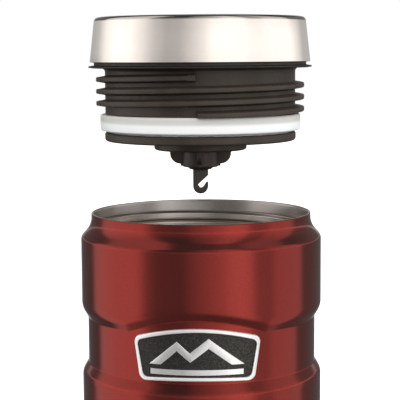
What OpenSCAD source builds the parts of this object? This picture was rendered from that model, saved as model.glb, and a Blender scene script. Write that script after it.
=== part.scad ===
// Vacuum insulated travel tumbler with a screw-on drinking lid and a tea hook.
// Frame: origin at the centre of the face the flask stands on, +Z up, badge towards -Y.
// The lid is drawn lifted off, straight above the mouth it screws into.

/* [Flask] */
// Height of the flask's rim above the table
flask_h = 190; // [175:1:210]
// Outer radius of the upper band, the widest part
band_r = 36.5; // [36.3:0.1:37.5]
// Outer radius of the waist that carries the badge
waist_r = 34.65; // [34.5:0.05:34.8]
// Outer radius at the bottom of the flask
foot_r = 35; // [34.5:0.1:36]
// Thickness of the steel sheet of both walls
wall = 0.55; // [0.4:0.05:0.6]

/* [Lid] */
// Height of the lid's rim gasket above the flask's rim
lid_lift = 43.5; // [40:0.5:60]
// Lead of the screw thread between lid and flask
thread_lead = 3.55; // [3.4:0.05:3.7]
// Turns of thread on the lid
lid_turns = 3; // [2:0.25:3]
// Height of the steel drinking rim
rim_h = 13.35; // [12:0.05:16]

/* [Drinking valve] */
// Travel of the valve between shut and open
valve_travel = 2.5; // [2:0.1:3]
// Turn of the knob that opens the valve, in degrees
knob_turn = 90; // [75:5:120]

/* [Tea hook] */
// Width of the hook's flat bar
hook_w = 4.56; // [3.6:0.02:5]
// Thickness of the hook's flat bar
hook_t = 1.8; // [1.2:0.1:2.5]

/* [Quality] */
// Straight steps in a full turn of a screw thread
thread_steps = 60; // [36:6:72]

/* [Hidden] */
$fn = 96;
eps = 0.01;

// Flask, heights from the table
mouth_r = 33.3;
lip_h = 1.05;
waist_top = flask_h - 26.65;
waist_low = flask_h - 44.9;
low_band_r = 36.5;
neck_round = 6.5;
neck_slope = 42;
shoulder_round = 2;
band_round = 5.5;
waist_slope = 30;
waist_top_round = 0.8;
waist_low_round = 1;
low_band_round = 4;
taper_top = flask_h - 62;
foot_round = 3;
foot_z = 1.6;
base_r = foot_r - foot_round - 0.4;
foot_in_r = 27.4;
dome_z = 2.5;
plug_r = 1.2;
bore_r = mouth_r - 2 * wall;
bore_low = flask_h - 13.9;
seat_r = 30.4;
seat_top = flask_h - 15.3;
vessel_low_r = 30;
vessel_floor = 6.5;
vessel_round = 9;
flask_turns = 2.25;
ridge_start = 180;
ridge_depth = 12.5;
flask_crest_r = 30.85;

// Badge on the waist, facing -Y
badge_top = flask_h - 29.2;
badge_low = flask_h - 44.7;
badge_top_half = 18.4;
badge_low_half = 16.6;
badge_top_bow = 3;
badge_low_bow = 0.45;
badge_corner = 2.1;
frame_w = 1;
plate_h = 0.5;
frame_h = 1;
emblem_h = 0.85;
arch_rise = 4;
arch_half = 19.65;
arch_foot = flask_h - 31.55;

// Lid, heights from the underside of its rim gasket
gasket_h = 0.8;
gasket_r = 33.6;
core_r = 28.6;
core_in_r = 26.65;
core_low = -13.7;
flange_r = 31.9;
crest_r = 31.3;
thread_low = -13.15;
rim_z = 1.75;
rim_low_r = 33.1;
rim_top_r = 31.75;
rim_round = 1.3;
rim_wall = 0.5;
rim_roll = 3.4;
seal_r = 30.1;
seal_step = -18.5;
seal_low = -18.95;
seal_lip_r = 28.1;
neck_r = 27.4;
seat_in_r = 25.2;
dish_z = 5;

// Drinking valve, heights as for the lid
hub_r = 8;
hub_top = 1.2;
hub_low = -3.2;
stem_bore_r = 5.1;
arm_w = 6;
arm_count = 3;
knob_r = 24;
knob_z = 3;
knob_plate = 2.4;
knob_stem_r = 5;
knob_stem_low = -9;
grip_w = 8;
grip_half = 20;
grip_top = 12.4;
pad_h = 1.5;
cam_core_r = 3;
cam_crest_r = 3.9;
cam_clear = 0.25;
cam_starts = 3;
cam_lead = valve_travel * 360 / knob_turn;
disc_r = 28.8;
disc_top = -19.15;
disc_low = -21.75;
post_r = 1.5;
post_ring_r = 16;
post_gap = 0.2;
post_top = 0.9;

// Hub under the valve disc, and its hook
nut_r = 14;
nut_low = -24.65;
boss_r = 5.5;
boss_low = -29.85;
tip_low = -30.6;
rib_top_r = 9.6;
rib_r = 9.25;
rib_t = 1.3;
rib_round = 3.2;
rib_low = -28.95;
rib_foot = -29.6;
stem_low = nut_low + 0.6;
hook_low = -38.05;

// ---- Outlines -------------------------------------------------------------------------

function unit(v) = v / norm(v);

// Points of an arc from angle a0 to angle a1 in n steps
function arc(cx, cy, r, a0, a1, n = 6) =
    [for (i = [0:n]) let (a = a0 + (a1 - a0) * i / n) [cx + r * cos(a), cy + r * sin(a)]];

// Points of a bowed line from x0 to -x0: at height z in its ends, and bow higher in the middle
function bowed(x0, z, bow, n = 10) =
    [for (i = [0:n]) let (t = 1 - 2 * i / n) [x0 * t, z + bow * (1 - t * t)]];

// Arc of radius r that rounds the corner p of an anticlockwise outline
function corner(before, p, after, r, n = 5) =
    let (u = unit(before - p),
         v = unit(after - p),
         half = acos(u * v) / 2,
         c = p + unit(u + v) * r / sin(half),
         first = p + u * r / tan(half) - c,
         a0 = atan2(first.y, first.x))
    [for (i = [0:n]) let (a = a0 + (180 - 2 * half) * i / n) c + r * [cos(a), sin(a)]];

// Profile of a wall that leaves radius r0 at height z0 and settles at radius r1 lower down,
// by two arcs of radius round0 and round1 with a straight slope between them.
// A wall's inner face takes inset = wall.
function step_down(r0, z0, r1, round0, round1, slope, inset = 0) =
    let (s = sign(r1 - r0),
         ra = round0 + s * inset,
         rb = round1 - s * inset,
         run = abs(r1 - r0) - (ra + rb) * (1 - cos(slope)),
         z1 = z0 - (ra + rb) * sin(slope) - run / tan(slope),
         a = r0 - inset,
         b = r1 - inset)
    concat([for (i = [0:5]) let (t = slope * i / 5) [a + s * ra * (1 - cos(t)), z0 - ra * sin(t)]],
           [for (i = [5:-1:0]) let (t = slope * i / 5) [b - s * rb * (1 - cos(t)), z1 + rb * sin(t)]]);

// Outer face of the flask from the rim down to the foot. Inset gives the wall's inner face.
function flask_side(inset = 0) = concat(
    [[mouth_r - inset, flask_h]],
    step_down(mouth_r, flask_h - lip_h, band_r, neck_round, shoulder_round, neck_slope, inset),
    step_down(band_r, waist_top, waist_r, band_round, waist_top_round, waist_slope, inset),
    step_down(waist_r, waist_low, low_band_r, waist_low_round, low_band_round, waist_slope, inset),
    [[low_band_r - inset, taper_top]],
    arc(foot_r - foot_round, foot_z + foot_round, foot_round - inset, 0, -90));

// Inner face of the vessel. A negative inset gives its outer face.
function vessel_side(inset = 0) = concat(
    [[bore_r - inset, flask_h], [bore_r - inset, bore_low], [seat_r - inset, seat_top]],
    arc(vessel_low_r - vessel_round, vessel_floor + vessel_round, vessel_round - inset, 0, -90));

// Badge outline in x and z. Shrink moves every edge inwards.
function badge_outline(shrink = 0) =
    let (low = bowed(shrink - badge_low_half, badge_low + shrink, badge_low_bow),
         top = bowed(badge_top_half - shrink, badge_top - badge_top_bow - shrink, badge_top_bow),
         n = len(low) - 1,
         r = badge_corner - shrink / 2)
    concat(corner(top[n], low[0], low[1], r), [for (i = [1:n - 1]) low[i]],
           corner(low[n - 1], low[n], top[0], r), corner(low[n], top[0], top[1], r),
           [for (i = [1:n - 1]) top[i]], corner(top[n - 1], top[n], low[0], r));

// Outline of the arch that lets the badge reach into the upper band
function arch_outline(grow = 0) =
    concat(bowed(arch_half + grow, arch_foot, arch_rise + grow, 16),
           [[-arch_half - grow, arch_foot - 4], [arch_half + grow, arch_foot - 4]]);

// ---- Shared solids --------------------------------------------------------------------

// Solid of revolution inside a side profile that runs downwards to height z
module filled(side, z) {
    rotate_extrude()
        polygon(concat([[0, side[0].y]], side, [[0, z]]));
}

// Flat ring between two radii and two heights
module ring(r0, r1, z0, z1) {
    rotate_extrude() polygon([[r0, z0], [r1, z0], [r1, z1], [r0, z1]]);
}

// Prism through the flask's front, of an outline drawn in x and z
module prism(outline) {
    translate([0, -20, 0]) rotate([90, 0, 0]) linear_extrude(30) polygon(outline);
}

// Plate that lies on the waist behind an outline, from height h0 to height h1 above the waist
module curved_plate(outline, h0, h1) {
    intersection() {
        prism(outline);
        ring(waist_r + h0, waist_r + h1, badge_low - 5, badge_top + 5);
    }
}

// All that lies behind the arch's outline and outside radius r
module arch_cut(r, grow = 0) {
    difference() {
        prism(arch_outline(grow));
        translate([0, 0, arch_foot - 10]) cylinder(r = r, h = 20);
    }
}

// Ridge of a screw thread. Its section is a list of [radius, height] points, root side first,
// that turns clockwise, and swells from lead_in of its size at the low end.
module helix_ridge(section, lead, turns, start = 0, lead_in = 1) {
    rings = ceil(turns * thread_steps);
    m = len(section);
    root = section[0].x;
    points = [for (i = [0:rings])
              let (t = turns * i / rings, a = start + 360 * t, k = i == 0 ? lead_in : 1)
              for (p = section)
                  let (r = root + (p.x - root) * k)
                  [r * cos(a), r * sin(a), p.y * k + lead * t]];
    sides = [for (i = [0:rings - 1]) for (j = [0:m - 1])
             let (a = i * m + j, b = i * m + (j + 1) % m, c = b + m, d = a + m)
             each [[a, c, b], [a, d, c]]];
    ends = [[for (j = [0:m - 1]) j], [for (j = [m - 1:-1:0]) rings * m + j]];
    polyhedron(points, concat(sides, ends));
}

// Puts what belongs to the lid at its height: 0 is the underside of the rim gasket
module on_lid() {
    translate([0, 0, flask_h + lid_lift]) children();
}

// Copies for each arm of the lid's spider. The first arm points to the back.
module each_arm() {
    for (k = [0:arm_count - 1]) rotate([0, 0, 90 + 360 * k / arm_count]) children();
}

// ---- Flask ----------------------------------------------------------------------------

module outer_shell() color([0.56, 0.09, 0.09]) {
    difference() {
        filled(flask_side(), foot_z);
        arch_cut(waist_r);
        difference() {
            filled(flask_side(wall), foot_z + wall);
            arch_cut(waist_r - wall, wall);
        }
        translate([0, 0, flask_h - 1]) cylinder(r = mouth_r - wall, h = 2);
        translate([0, 0, foot_z - 1]) cylinder(r = base_r, h = 3);
    }
}

// The pressed thread is a ridge inside the bore, midway between the turns of the lid's thread
module inner_vessel() color([0.62, 0.6, 0.58]) {
    difference() {
        filled(vessel_side(-wall), vessel_floor - wall);
        translate([0, 0, eps]) filled(vessel_side(), vessel_floor - eps);
    }
    // At the start angle, a whole number of turns below the middle of the lid's first gap
    lid_gap = lid_lift + thread_low + (ridge_start + 90) / 360 * thread_lead + thread_lead / 2;
    turns_down = floor((lid_gap + ridge_depth) / thread_lead);
    translate([0, 0, flask_h + lid_gap - turns_down * thread_lead])
        helix_ridge([[bore_r + 0.3, 1.4], [bore_r + 0.3, -1.4], [flask_crest_r, -0.75],
                     [flask_crest_r, 0.75]], thread_lead, flask_turns, start = ridge_start);
}

module foil_shield() color([0.78, 0.62, 0.5]) {
    ring(seat_r + wall + 0.1, seat_r + wall + 0.25, 20, waist_low - 2);
}

module getter() color([0.35, 0.36, 0.38]) {
    translate([9, 0, vessel_floor - wall - 1.2]) cylinder(r = 5, h = 1.2);
}

// Domed in the middle, where the plug closes the hole that the air was drawn out through
module shell_base() color([0.68, 0.67, 0.66]) {
    difference() {
        rotate_extrude()
            polygon([[0, dome_z], [8, dome_z], [10, foot_z], [base_r, foot_z],
                     [base_r, foot_z + wall], [10.2, foot_z + wall], [8.2, dome_z + wall],
                     [0, dome_z + wall]]);
        translate([0, 0, foot_z]) cylinder(r = plug_r, h = 3);
    }
}

module vacuum_plug() color([0.5, 0.5, 0.52]) {
    translate([0, 0, dome_z - 0.1]) cylinder(r = plug_r, h = wall + 0.1);
    translate([0, 0, dome_z - 0.8]) cylinder(r = plug_r + 0.8, h = 0.8);
}

module base_cover() color([0.7, 0.7, 0.7]) {
    rotate_extrude() polygon([[0, 0.9], [foot_in_r, 0.9], [foot_in_r, foot_z],
                              [foot_in_r - 1.4, foot_z], [foot_in_r - 2, 1.3], [0, 1.3]]);
}

module foot_ring() color([0.12, 0.12, 0.12]) {
    rotate_extrude()
        polygon(concat([[foot_in_r, foot_z]], arc(foot_in_r + 0.7, 0.7, 0.7, 180, 270, 4),
                       arc(base_r - 1, 0.7, 0.7, 270, 360, 4), [[base_r - 0.3, foot_z]]));
}

module badge_plate() color([0.19, 0.18, 0.17]) {
    curved_plate(badge_outline(frame_w), 0, plate_h);
}

module badge_frame() color([0.85, 0.85, 0.85]) {
    difference() {
        curved_plate(badge_outline(), 0, frame_h);
        prism(badge_outline(frame_w));
    }
}

// A plain emblem: two peaks over a bar
module badge_emblem() color([0.9, 0.9, 0.9]) {
    middle = (badge_top + badge_low) / 2 - 0.4;
    peaks = [[-13.6, -2.3], [-5.6, 4.5], [-1.9, 1.2], [3.4, 5.4], [13.6, -2.3], [9.9, -2.3],
             [3.4, 2.5], [-1.8, -1.5], [-5.6, 1.8], [-10.2, -2.3]];
    bar = [[-13.2, -5.1], [13.2, -5.1], [13.2, -3.6], [-13.2, -3.6]];
    for (shape = [peaks, bar])
        curved_plate([for (p = shape) p + [0, middle]], plate_h, emblem_h);
}

// ---- Lid ------------------------------------------------------------------------------

module rim_gasket() color([0.06, 0.06, 0.06]) on_lid() {
    rotate_extrude()
        polygon([[core_r + 0.07, 0.02], [gasket_r - 0.3, 0.15], [gasket_r, 0.4],
                 [gasket_r - 0.3, 0.65], [core_r + 0.07, gasket_h]]);
}

module drink_rim() color([0.75, 0.73, 0.72]) on_lid() {
    top = rim_z + rim_h;
    round_at = [rim_top_r - rim_round, top - rim_round];
    rotate_extrude()
        polygon(concat([[rim_low_r, rim_z]],
                       arc(round_at.x, round_at.y, rim_round, 0, 180, 12),
                       [[rim_top_r - 2 * rim_round, top - rim_roll],
                        [rim_top_r - 2 * rim_round + rim_wall, top - rim_roll]],
                       arc(round_at.x, round_at.y, rim_round - rim_wall, 180, 0, 12),
                       [[rim_low_r - rim_wall, rim_z]]));
}

// Fills the steel rim from inside, and slopes down to the valve as a drinking trough
module lid_collar() color([0.16, 0.14, 0.13]) on_lid() {
    low = rim_z + rim_h - rim_roll;
    slope = (rim_low_r - rim_top_r) / (rim_h - rim_round);
    rotate_extrude()
        polygon([[core_in_r, rim_z], [rim_low_r - rim_wall, rim_z],
                 [rim_low_r - rim_wall - slope * (low - rim_z), low],
                 [rim_top_r - 2 * rim_round, low], [core_in_r, dish_z]]);
}

module lid_core() color([0.17, 0.15, 0.14]) on_lid() {
    rotate_extrude()
        polygon(concat([[core_in_r, rim_z], [core_in_r, seal_step + 1.5],
                        [seat_in_r, seal_low + 0.7], [seat_in_r, seal_low + 0.2],
                        [neck_r, seal_low + 0.2], [neck_r, core_low], [core_r, core_low]],
                       arc(core_r + 1.1, -1.15, 1.1, 180, 90, 5),
                       [[core_r, -0.05], [core_r, gasket_h + 0.05],
                        [flange_r, gasket_h + 0.05], [flange_r, rim_z]]));
    intersection() {
        translate([0, 0, thread_low])
            helix_ridge([[core_r - 0.4, -1.15], [core_r - 0.4, 1.15], [crest_r - 0.25, 0.7],
                         [crest_r, 0.45], [crest_r, -0.45], [crest_r - 0.25, -0.7]],
                        thread_lead, lid_turns, start = -90, lead_in = 0.85);
        ring(core_r - 1, crest_r + 1, core_low, -0.1);
    }
    spider();
}

// Arms that carry the knob's bearing. A hole in each guides a post of the valve.
module spider() {
    difference() {
        union() {
            translate([0, 0, hub_low]) cylinder(r = hub_r, h = hub_top - hub_low);
            each_arm() translate([0, -arm_w / 2, hub_low])
                cube([core_in_r + 0.5, arm_w, hub_top - hub_low]);
        }
        translate([0, 0, hub_low - 1]) cylinder(r = stem_bore_r, h = 10);
        each_arm() translate([post_ring_r, 0, hub_low - 1])
            cylinder(r = post_r + post_gap, h = 10);
    }
}

module lid_seal() color([0.93, 0.95, 0.95]) on_lid() {
    rotate_extrude()
        polygon(concat([[neck_r, seal_low]], arc(seal_lip_r - 0.35, seal_low + 0.35, 0.35, -90, 0, 3),
                       [[seal_lip_r, seal_step]],
                       arc(seal_r - 0.6, seal_step + 0.6, 0.6, -90, 0, 4),
                       arc(seal_r - 0.6, core_low - 0.6, 0.6, 0, 90, 4), [[neck_r, core_low]]));
}

// ---- Drinking valve -------------------------------------------------------------------

// Threads of the cam that turns the knob's rotation into the valve's travel. They stand on the
// valve stem. Grow widens them into the grooves of the knob.
module cam_threads(z, turns, grow = 0) {
    for (k = [0:cam_starts - 1])
        translate([0, 0, z])
            helix_ridge([[cam_core_r - 0.4, -1 - grow], [cam_core_r - 0.4, 1 + grow],
                         [cam_crest_r + grow, 0.5 + grow], [cam_crest_r + grow, -0.5 - grow]],
                        cam_lead, turns, start = 360 * k / cam_starts + 360 * z / cam_lead);
}

module twist_knob() color([0.15, 0.13, 0.12]) on_lid() {
    top = knob_z + knob_plate;
    groove_r = knob_stem_r - 0.55;
    clip_z = hub_low - 0.1;
    difference() {
        union() {
            rotate_extrude()
                polygon(concat([[0, knob_stem_low], [knob_stem_r, knob_stem_low],
                                [knob_stem_r, clip_z - 1], [groove_r, clip_z - 1],
                                [groove_r, clip_z], [knob_stem_r, clip_z],
                                [knob_stem_r, -1.6], [groove_r, -1.6], [groove_r, -0.2],
                                [knob_stem_r, -0.2], [knob_stem_r, hub_top + 0.2],
                                [hub_r, hub_top + 0.2], [hub_r, knob_z]],
                               arc(knob_r - 0.8, knob_z + 0.8, 0.8, -90, 0, 4),
                               arc(knob_r - 1.4, top - 1.4, 1.4, 0, 90, 5), [[0, top]]));
            translate([-grip_half, -grip_w / 2, top - 0.5])
                cube([2 * grip_half, grip_w, grip_top - pad_h - top + 0.5]);
        }
        translate([0, 0, knob_stem_low - 1]) cylinder(r = cam_core_r + cam_clear, h = 11.6);
        cam_threads(knob_stem_low - 3.2, 11.5 / cam_lead, cam_clear);
    }
}

module grip_pad() color([0.1, 0.09, 0.09]) on_lid() {
    translate([-grip_half, -grip_w / 2, grip_top - pad_h]) cube([2 * grip_half, grip_w, pad_h]);
}

module stem_ring() color([0.08, 0.08, 0.08]) on_lid() {
    rotate_extrude() translate([knob_stem_r - 0.24, -0.9]) circle(r = 0.3, $fn = 24);
}

module knob_clip() color([0.6, 0.6, 0.6]) on_lid() {
    difference() {
        ring(knob_stem_r - 0.55, knob_stem_r + 1.8, hub_low - 0.95, hub_low - 0.25);
        translate([0, -2, hub_low - 2]) cube([20, 4, 4]);
    }
}

module valve_stem() color([0.86, 0.86, 0.84]) on_lid() {
    translate([0, 0, stem_low]) cylinder(r = cam_core_r, h = 1.1 - stem_low);
    translate([0, 0, disc_top]) cylinder(r = 5.5, h = 1.4);
    cam_threads(knob_stem_low + 0.6, 7 / cam_lead);
}

module valve_disc() color([0.17, 0.15, 0.14]) on_lid() {
    rotate_extrude()
        polygon(concat([[cam_core_r, disc_low]], arc(disc_r - 0.9, disc_low + 0.9, 0.9, -90, 0, 5),
                       arc(disc_r - 0.5, disc_top - 0.5, 0.5, 0, 90, 4),
                       [[cam_core_r, disc_top]]));
    each_arm() translate([post_ring_r, 0, disc_top - 0.5])
        cylinder(r = post_r, h = post_top - disc_top + 0.5);
}

module valve_gasket() color([0.9, 0.92, 0.92]) on_lid() {
    ring(seat_in_r - 1.5, neck_r - 0.1, disc_top, seal_low + 0.1);
}

module hook_nut() color([0.17, 0.15, 0.14]) on_lid() {
    rotate_extrude()
        polygon(concat([[cam_core_r, disc_low], [cam_core_r, stem_low], [0, stem_low],
                        [0, tip_low], [3.2, tip_low], [4.1, boss_low]],
                       arc(boss_r - 0.5, boss_low + 0.5, 0.5, -90, 0, 4),
                       [[boss_r, nut_low]], arc(nut_r - 0.8, nut_low + 0.8, 0.8, -90, 0, 4),
                       [[nut_r, disc_low]]));
    for (k = [0:3]) rotate([90, 0, 90 * k]) translate([0, 0, -rib_t / 2])
        linear_extrude(rib_t)
            polygon(concat([[boss_r - 1, rib_foot], [rib_r - rib_round, rib_foot]],
                           arc(rib_r - rib_round, rib_low + rib_round, rib_round, -90, 0, 8),
                           [[rib_top_r, nut_low + 0.3], [boss_r - 1, nut_low + 0.3]]));
}

// Flat bar with a round end. A slot slants down into it from the right and leaves the hook's tip.
module tea_hook() color([0.16, 0.14, 0.13]) on_lid() {
    r = hook_w / 2;
    eye = hook_low + r;
    slot = [[r + 1, eye + 4.3], [-0.4 * r, eye + 0.38], [-0.05 * r, eye - 0.54],
            [0.25 * r, eye - 0.42], [0.8 * r, eye + 1.33], [r, eye + 1.2], [r + 1, eye + 1.2]];
    translate([0, hook_t / 2, 0]) rotate([90, 0, 0]) linear_extrude(hook_t)
        difference() {
            union() {
                translate([-r, eye]) square([hook_w, tip_low - eye]);
                translate([0, eye]) circle(r = r);
            }
            polygon(slot);
        }
}

outer_shell();
inner_vessel();
foil_shield();
getter();
shell_base();
vacuum_plug();
base_cover();
foot_ring();
badge_plate();
badge_frame();
badge_emblem();
rim_gasket();
drink_rim();
lid_collar();
lid_core();
lid_seal();
twist_knob();
grip_pad();
stem_ring();
knob_clip();
valve_stem();
valve_disc();
valve_gasket();
hook_nut();
tea_hook();
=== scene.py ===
"""Looks of a vacuum insulated travel tumbler: a lacquered steel flask whose lid is lifted off its mouth.

Lengths are millimetres in the row frame, and skin() scales them to metres as it makes a mesh.
Heights of the lid's parts are counted from the underside of its rim gasket, as in the CAD.
"""

import math

import bmesh
import bpy
from mathutils import Matrix, Vector


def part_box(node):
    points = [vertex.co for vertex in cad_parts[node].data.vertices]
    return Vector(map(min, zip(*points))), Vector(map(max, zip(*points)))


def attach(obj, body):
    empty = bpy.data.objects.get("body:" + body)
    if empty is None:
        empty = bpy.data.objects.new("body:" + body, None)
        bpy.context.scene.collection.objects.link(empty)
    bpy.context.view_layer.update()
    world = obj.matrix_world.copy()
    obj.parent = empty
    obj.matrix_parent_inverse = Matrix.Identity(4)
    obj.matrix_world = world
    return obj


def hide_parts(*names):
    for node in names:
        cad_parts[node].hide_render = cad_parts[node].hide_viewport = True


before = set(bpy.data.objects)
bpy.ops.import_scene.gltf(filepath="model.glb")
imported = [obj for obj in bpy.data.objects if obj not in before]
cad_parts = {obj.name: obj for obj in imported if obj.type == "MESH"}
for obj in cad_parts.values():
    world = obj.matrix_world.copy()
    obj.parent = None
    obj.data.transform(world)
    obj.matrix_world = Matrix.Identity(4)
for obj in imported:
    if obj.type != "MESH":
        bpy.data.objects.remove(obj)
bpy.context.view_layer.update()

MM = 0.001


def box(node):
    """Lowest and highest corner of a CAD node, in millimetres."""
    low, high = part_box(node)
    return low / MM, high / MM


# ---- Sizes ------------------------------------------------------------------------------

# Flask. A step is its upper rounding, its lower rounding, and its slope in degrees
FLASK_H = box("inner_vessel")[1].z
BAND_R = box("outer_shell")[1].x
WALL = 0.55
MOUTH_R = 33.3
LIP_H = 1.05
LIP_ROUND = 0.28
NECK_STEP = (6.5, 2, 42)
WAIST_STEP = (5.5, 0.8, 30)
LOW_BAND_STEP = (1, 4, 30)
WAIST_R = 34.65
WAIST_TOP = FLASK_H - 26.65
WAIST_LOW = FLASK_H - 44.9
LOW_BAND_R = 36.5
TAPER_TOP = FLASK_H - 62
FOOT_Z = box("shell_base")[0].z
FOOT_R = 35.0
FOOT_ROUND = 3.0
BORE_R = MOUTH_R - 2 * WALL
FLARE_LOW = FLASK_H - 3.6
FLARE_TOP = FLASK_H - 0.6
FLARE = 0.34
EDGE_ROUND = 0.2
BORE_CREST_R = BORE_R - 1.35
BORE_THREAD_LOW = FLASK_H - 12.25
BORE_THREAD_TURNS = 2.25
BORE_THREAD_FADE = 25
SEAT_R = 30.4
BORE_LOW = FLASK_H - 13.9
SEAT_TOP = FLASK_H - 15.3
VESSEL_FLOOR = box("inner_vessel")[0].z + WALL
VESSEL_LOW_R = 30.0
VESSEL_ROUND = 9.0
# Heights over which the vessel steel's colour goes from painted light below to painted shade at the
# mouth
PAINTED_SHADE_LOW, PAINTED_SHADE_TOP = FLASK_H - 4.6, FLASK_H - 3.4
COVER_LOW = 0.9
COVER_BEAD = 1.05
COVER_TOP = 1.3

# Arch over the badge, and the badge itself
ARCH_RISE = 4.0
ARCH_HALF = 19.65
ARCH_STEPS = 80
BACK_STEPS = 240
BADGE_LOW, BADGE_TOP = box("badge_frame")[0].z, box("badge_frame")[1].z
BADGE_TOP_HALF = box("badge_frame")[1].x
BADGE_LOW_HALF = BADGE_TOP_HALF - 1.8
BADGE_TOP_BOW = 3.0
BADGE_LOW_BOW = 0.45
BADGE_CORNER = 2.1
FRAME_W = 1.0
FRAME_H = 1.0
PLATE_H = 0.5
EMBLEM_H = 0.85

# Lid
RIM_Z = 1.75
LID_Z = box("drink_rim")[0].z - RIM_Z
RIM_TOP = box("drink_rim")[1].z - LID_Z
RIM_LOW_R = box("drink_rim")[1].x
RIM_TOP_R = 31.75
RIM_ROUND = 1.3
RIM_WALL = 0.5
RIM_ROLL = 3.4
GASKET_H = 0.8
GASKET_R = box("rim_gasket")[1].x
CORE_R = 28.6
CORE_IN_R = 26.65
CORE_LOW = -13.7
FLANGE_R = 31.9
CREST_R = 31.3
ROOT_IN = 0.5
THREAD_LOW = -13.15
THREAD_LEAD = 3.55
THREAD_TURNS = 3.0
LUG_ANGLE = 4.5
LUG_HALF = 0.85
SEAL_R = box("lid_seal")[1].x
SEAL_STEP = -18.5
SEAL_LOW = -18.95
SEAL_LIP_R = 28.1
NECK_R = 27.4
SEAT_IN_R = 25.2
DISH_Z = 5.0

# Valve, knob and hook
HUB_R = 8.0
HUB_TOP = 1.2
HUB_LOW = -3.2
STEM_BORE_R = 5.1
FIRST_ARM = 90
ARM_W = 6.0
ARMS = 3
KNOB_R = box("twist_knob")[1].x
KNOB_Z = 3.0
KNOB_PLATE = 2.4
KNOB_STEM_R = 5.0
KNOB_STEM_LOW = -9.0
STEM_GROOVE_R = KNOB_STEM_R - 0.55
STEM_BORE_TOP = 1.6
CAM_STARTS = 3
CAM_LEAD = 10.0
CAM_R = 3.25
CAM_GROOVE_R = 4.15
CAM_GROOVE_TOP = 0.4
CAM_FOOT_HALF, CAM_TIP_HALF = 0.92, 0.6
CAM_FADE = 5
CAM_LOW, CAM_TOP = KNOB_STEM_LOW + 1, -0.8
GRIP_W = 8.0
GRIP_HALF = 20.0
PAD_H = 1.5
PAD_RIBS = 10
PAD_RIB_SLOPE = 0.45
PAD_RIB_DEPTH = 0.35
GRIP_TOP = box("grip_pad")[1].z - LID_Z
DISC_R = box("valve_disc")[1].x
DISC_TOP = -19.15
DISC_LOW = -21.75
POST_R = 1.5
POST_RING_R = 16.0
POST_TOP = 0.9
POST_GAP = 0.2
NUT_R = box("hook_nut")[1].x
NUT_LOW = -24.65
BOSS_R = 5.5
BOSS_LOW = -29.85
NUT_BORE_R = 3.0
TIP_LOW = box("hook_nut")[0].z - LID_Z
RIB_TOP_R = 9.6
RIB_R = 9.25
RIB_T = 1.3
RIB_ROUND = 3.2
RIB_LOW = -28.95
RIB_FOOT = -29.6
HOOK_LOW = box("tea_hook")[0].z - LID_Z
HOOK_W = 2 * box("tea_hook")[1].x
HOOK_T = 2 * box("tea_hook")[1].y

# Camera, as the photograph was taken: distance from the flask's axis, height over the floor
CAMERA_AWAY = 399.4
CAMERA_UP = FLASK_H + 48.07
CAMERA_AZIMUTH = 2.35
CAMERA_PITCH = 6.38
CAMERA_YAW = 0.035
CAMERA_ROLL = -0.34
CAMERA_LENS = 118.8
SENSOR_W = 36


# ---- Outlines ---------------------------------------------------------------------------


def arc(x, z, radius, start, end, steps=10):
    """Points of an arc round (x, z), from one angle to another in degrees."""
    angles = [math.radians(start + (end - start) * i / steps) for i in range(steps + 1)]
    return [(x + radius * math.cos(a), z + radius * math.sin(a)) for a in angles]


def rounded(corners, steps=6):
    """Closed outline through corners (x, z, radius). A corner with a radius becomes an arc."""
    points = []
    for i, (x, z, radius) in enumerate(corners):
        here = Vector((x, z))
        if radius == 0:
            points.append((x, z))
            continue
        back = (Vector(corners[i - 1][:2]) - here).normalized()
        ahead = (Vector(corners[(i + 1) % len(corners)][:2]) - here).normalized()
        half = back.angle(ahead) / 2
        centre = here + (back + ahead).normalized() * radius / math.sin(half)
        first = here + back * radius / math.tan(half) - centre
        last = here + ahead * radius / math.tan(half) - centre
        start = math.atan2(first.y, first.x)
        turn = (math.atan2(last.y, last.x) - start + math.pi) % (2 * math.pi) - math.pi
        for k in range(steps + 1):
            a = start + turn * k / steps
            points.append((centre.x + radius * math.cos(a), centre.y + radius * math.sin(a)))
    return points


def step_down(r0, z0, r1, round0, round1, slope, inset, steps=10):
    """Side profile from radius r0 at height z0 down to radius r1: two arcs and a slope between.

    With an inset it runs that far inside the outer side, as the other face of the wall.
    """
    side = math.copysign(1, r1 - r0)
    ra, rb = round0 + side * inset, round1 - side * inset
    tilt = math.radians(slope)
    run = abs(r1 - r0) - (ra + rb) * (1 - math.cos(tilt))
    z1 = z0 - (ra + rb) * math.sin(tilt) - run / math.tan(tilt)
    turn = [tilt * i / steps for i in range(steps + 1)]
    upper = [(r0 - inset + side * ra * (1 - math.cos(t)), z0 - ra * math.sin(t)) for t in turn]
    lower = [(r1 - inset - side * rb * (1 - math.cos(t)), z1 + rb * math.sin(t)) for t in turn]
    return upper + lower[::-1]


def held(outline, longest=2.0, reach=0.08):
    """The outline with points near the ends of its long straight runs, which keeps them flat."""
    points = []
    for a, b in zip(outline, outline[1:] + outline[:1]):
        points.append(a)
        run = math.dist(a[:2], b[:2])
        if run > longest:
            points += [tuple(p + (q - p) * share for p, q in zip(a, b))
                       for share in (reach / run, 1 - reach / run)]
    return points


def badge_outline(shrink, steps=36):
    """Badge outline in x and z, shrunk all round: an arched top over a nearly straight bottom."""
    radius = BADGE_CORNER - shrink / 2
    low, top = BADGE_LOW + shrink, BADGE_TOP - BADGE_TOP_BOW - shrink
    low_half, top_half = BADGE_LOW_HALF - shrink, BADGE_TOP_HALF - shrink
    # Shares of the half width, from +x to -x, that stay clear of the rounded corners
    spread = [0.86 * (1 - 2 * i / steps) for i in range(steps + 1)]
    corners = [(-low_half, low, radius)]
    corners += [(-low_half * t, low + BADGE_LOW_BOW * (1 - t * t), 0) for t in spread]
    corners += [(low_half, low, radius), (top_half, top, radius)]
    corners += [(top_half * t, top + BADGE_TOP_BOW * (1 - t * t), 0) for t in spread]
    corners += [(-top_half, top, radius)]
    return rounded(corners, 8)


# ---- Meshes -----------------------------------------------------------------------------


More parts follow.
